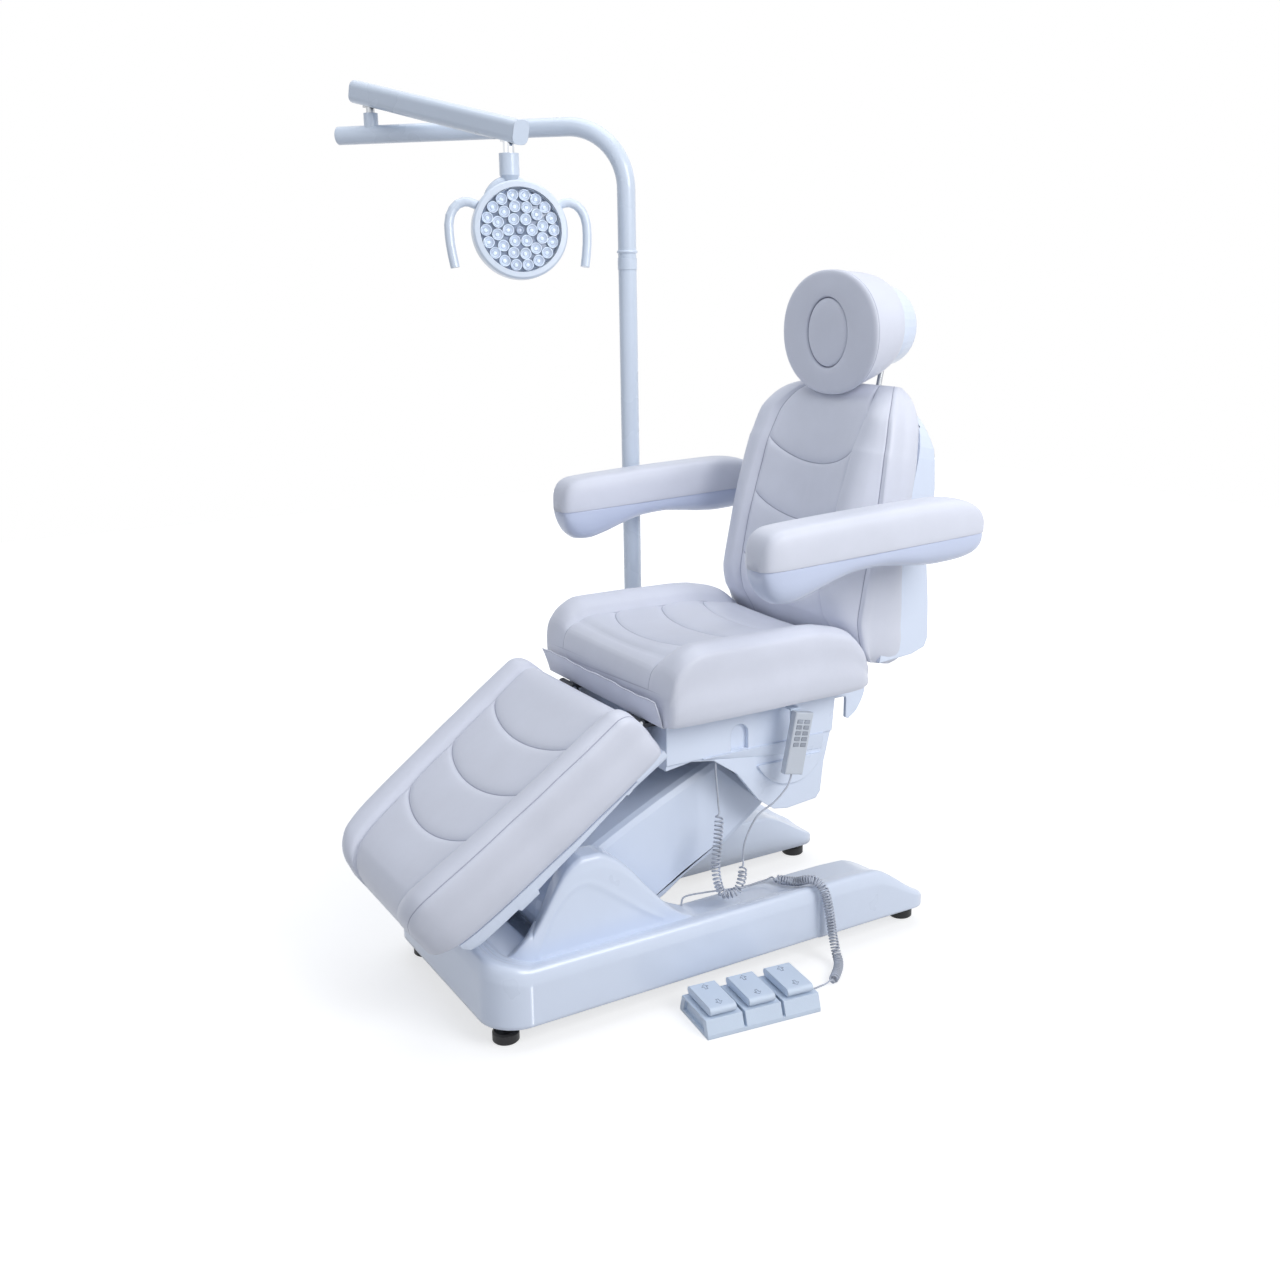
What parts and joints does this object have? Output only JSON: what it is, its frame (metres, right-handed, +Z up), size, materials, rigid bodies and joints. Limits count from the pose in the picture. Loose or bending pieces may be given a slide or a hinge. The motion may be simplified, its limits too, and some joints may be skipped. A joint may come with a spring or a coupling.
{
  "type": "hair transplant bed",
  "caption": "powered treatment chair-bed with lift arm, reclining back, leg rest, folding armrests, face-hole headrest, footswitch, handset and post-mounted examination lamp",
  "frame": {"origin": "on the floor, midway between the four levelling feet", "axes": "+Z up; -Y towards the sitter's feet; +X the sitter's left side, where the footswitch and the handset are"},
  "size_m": [1.4681, 1.2239, 1.8699],
  "materials": {
    "frame_paint": "black powder coat",
    "shell_plastic": "smooth cool white moulding",
    "foot_rubber": "black rubber",
    "bright_steel": "turned steel",
    "chrome": "polished",
    "post_paint": "white powder coat",
    "leatherette": "pale grey-white leatherette with fine grain",
    "board_wood": "board with a white laminate",
    "switch_plastic": "light grey moulding",
    "handset_plastic": "light grey moulding",
    "button_rubber": "grey rubber keys",
    "cord_cover": "grey-white cord cover",
    "lens": "clear cover",
    "cup_plastic": "moulded lens cups"
  },
  "bodies": {
    "base": {"base_frame": "frame_paint", "base_cover": "shell_plastic", "levelling_feet": "foot_rubber", "base_shafts": "bright_steel", "post_bracket": "frame_paint", "lower_post": "post_paint", "footswitch_housing": "switch_plastic", "footswitch_knob": "switch_plastic", "footswitch_cord": "cord_cover"},
    "boom": {"boom_frame": "frame_paint", "boom_cover": "shell_plastic"},
    "link": {"parallel_link": "bright_steel"},
    "carrier": {"seat_frame": "frame_paint", "carrier_shafts": "bright_steel", "seat_board": "board_wood", "under_seat_shell": "shell_plastic", "seat_cushion": "leatherette", "seam_flap": "leatherette", "handset_hook": "frame_paint", "handset_case": "handset_plastic", "handset_cord": "cord_cover"},
    "back": {"back_frame": "frame_paint", "back_shell": "shell_plastic", "back_cushion": "leatherette"},
    "headrest_slide": {"headrest_posts": "bright_steel"},
    "headrest": {"headrest_shell": "shell_plastic", "headrest_cushion": "leatherette", "headrest_plug": "leatherette"},
    "armrest_left": {"armrest_shell_left": "shell_plastic", "armrest_pad_left": "leatherette"},
    "armrest_right": {"armrest_shell_right": "shell_plastic", "armrest_pad_right": "leatherette"},
    "leg": {"leg_frame": "frame_paint", "leg_pan": "shell_plastic", "leg_cushion": "leatherette"},
    "lamp_tube": {"upper_tube": "post_paint", "upper_tube_cap": "post_paint"},
    "elbow": {"elbow_spindle": "bright_steel"},
    "upper_arm": {"upper_arm": "post_paint", "upper_arm_caps": "post_paint"},
    "lamp_hanger": {"lamp_pin": "chrome"},
    "yoke": {"lamp_yoke": "post_paint"},
    "lamp_head": {"lamp_housing": "post_paint", "lamp_lens": "lens", "led_cups": "cup_plastic", "lamp_handles": "post_paint"},
    "pedal_1": {"pedal_1": "switch_plastic"},
    "pedal_2": {"pedal_2": "switch_plastic"},
    "pedal_3": {"pedal_3": "switch_plastic"},
    "button_01": {"handset_button_01": "button_rubber"},
    "button_02": {"handset_button_02": "button_rubber"},
    "button_03": {"handset_button_03": "button_rubber"},
    "button_04": {"handset_button_04": "button_rubber"},
    "button_05": {"handset_button_05": "button_rubber"},
    "button_06": {"handset_button_06": "button_rubber"},
    "button_07": {"handset_button_07": "button_rubber"},
    "button_08": {"handset_button_08": "button_rubber"},
    "button_09": {"handset_button_09": "button_rubber"},
    "button_10": {"handset_button_10": "button_rubber"}
  },
  "joints": [
    {"name": "lift", "type": "hinge", "parent": "base", "child": "boom", "pos_m": [0, -0.29, 0.19], "axis": [1, 0, 0], "range_deg": [0, 32]},
    {"name": "link_turn", "type": "hinge", "parent": "base", "child": "link", "pos_m": [0, -0.23, 0.17], "axis": [1, 0, 0], "range_deg": [-1, 33]},
    {"name": "seat_level", "type": "hinge", "parent": "boom", "child": "carrier", "pos_m": [0, 0.17199, 0.40838], "axis": [-1, 0, 0], "range_deg": [-1, 33]},
    {"name": "leg_rest_lift", "type": "hinge", "parent": "carrier", "child": "leg", "pos_m": [0, -0.16001, 0.56038], "axis": [-1, 0, 0], "range_deg": [0, 35.4]},
    {"name": "back_recline", "type": "hinge", "parent": "carrier", "child": "back", "pos_m": [0, 0.36499, 0.56038], "axis": [-1, 0, 0], "range_deg": [0, 72]},
    {"name": "armrest_left", "type": "hinge", "parent": "back", "child": "armrest_left", "pos_m": [0.39, 0.46123, 0.89774], "axis": [-1, 0, 0], "range_deg": [-60, 88]},
    {"name": "armrest_right", "type": "hinge", "parent": "back", "child": "armrest_right", "pos_m": [-0.39, 0.46123, 0.89774], "axis": [-1, 0, 0], "range_deg": [-60, 88]},
    {"name": "headrest_slide", "type": "slide", "parent": "back", "child": "headrest_slide", "axis": [0, 0.2079, 0.9781], "range_m": [0, 0.08]},
    {"name": "headrest_tilt", "type": "hinge", "parent": "headrest_slide", "child": "headrest", "pos_m": [0, 0.52737, 1.27626], "axis": [-1, 0, 0], "range_deg": [0, 30]},
    {"name": "post_swivel", "type": "hinge", "parent": "base", "child": "lamp_tube", "pos_m": [-0.48, 0.195, 1.45], "axis": [0, 0, 1], "range_deg": [-60, 90]},
    {"name": "elbow_swivel", "type": "hinge", "parent": "lamp_tube", "child": "elbow", "pos_m": [-0.94441, -0.23807, 1.7922], "axis": [0, 0, 1], "range_deg": [-120, 5]},
    {"name": "arm_tilt", "type": "hinge", "parent": "elbow", "child": "upper_arm", "pos_m": [-0.94441, -0.23807, 1.8332], "axis": [0.3123, -0.95, 0], "range_deg": [-8, 20]},
    {"name": "lamp_level", "type": "hinge", "parent": "upper_arm", "child": "lamp_hanger", "pos_m": [-0.494, -0.08998, 1.72199], "axis": [-0.3123, 0.95, 0], "range_deg": [-9, 21]},
    {"name": "lamp_swivel", "type": "hinge", "parent": "lamp_hanger", "child": "yoke", "pos_m": [-0.494, -0.08998, 1.66199], "axis": [0, 0, 1], "range_deg": [-170, 170]},
    {"name": "lamp_tilt", "type": "hinge", "parent": "yoke", "child": "lamp_head", "pos_m": [-0.494, -0.08998, 1.49799], "axis": [0.225, 0.9744, 0], "range_deg": [-15, 90]},
    {"name": "pedal_1_rock", "type": "hinge", "parent": "base", "child": "pedal_1", "pos_m": [0.35776, -0.11937, 0.0198], "axis": [0.1219, 0.9925, 0], "range_deg": [-4, 4], "stiffness_Nm_per_rad": 1.5},
    {"name": "pedal_2_rock", "type": "hinge", "parent": "base", "child": "pedal_2", "pos_m": [0.368, -0.036, 0.0198], "axis": [0.1219, 0.9925, 0], "range_deg": [-4, 4], "stiffness_Nm_per_rad": 1.5},
    {"name": "pedal_3_rock", "type": "hinge", "parent": "base", "child": "pedal_3", "pos_m": [0.37824, 0.04737, 0.0198], "axis": [0.1219, 0.9925, 0], "range_deg": [-4, 4], "stiffness_Nm_per_rad": 1.5},
    {"name": "handset_press_01", "type": "slide", "parent": "carrier", "child": "button_01", "axis": [-1, 0, 0], "range_m": [0, 0.0008], "stiffness_N_per_m": 800},
    {"name": "handset_press_02", "type": "slide", "parent": "carrier", "child": "button_02", "axis": [-1, 0, 0], "range_m": [0, 0.0008], "stiffness_N_per_m": 800},
    {"name": "handset_press_03", "type": "slide", "parent": "carrier", "child": "button_03", "axis": [-1, 0, 0], "range_m": [0, 0.0008], "stiffness_N_per_m": 800},
    {"name": "handset_press_04", "type": "slide", "parent": "carrier", "child": "button_04", "axis": [-1, 0, 0], "range_m": [0, 0.0008], "stiffness_N_per_m": 800},
    {"name": "handset_press_05", "type": "slide", "parent": "carrier", "child": "button_05", "axis": [-1, 0, 0], "range_m": [0, 0.0008], "stiffness_N_per_m": 800},
    {"name": "handset_press_06", "type": "slide", "parent": "carrier", "child": "button_06", "axis": [-1, 0, 0], "range_m": [0, 0.0008], "stiffness_N_per_m": 800},
    {"name": "handset_press_07", "type": "slide", "parent": "carrier", "child": "button_07", "axis": [-1, 0, 0], "range_m": [0, 0.0008], "stiffness_N_per_m": 800},
    {"name": "handset_press_08", "type": "slide", "parent": "carrier", "child": "button_08", "axis": [-1, 0, 0], "range_m": [0, 0.0008], "stiffness_N_per_m": 800},
    {"name": "handset_press_09", "type": "slide", "parent": "carrier", "child": "button_09", "axis": [-1, 0, 0], "range_m": [0, 0.0008], "stiffness_N_per_m": 800},
    {"name": "handset_press_10", "type": "slide", "parent": "carrier", "child": "button_10", "axis": [-1, 0, 0], "range_m": [0, 0.0008], "stiffness_N_per_m": 800}
  ],
  "couplings": [
    {"joint": "link_turn", "follows": "lift", "ratio": 1},
    {"joint": "seat_level", "follows": "lift", "ratio": 1},
    {"joint": "lamp_level", "follows": "arm_tilt", "ratio": 1}
  ]
}
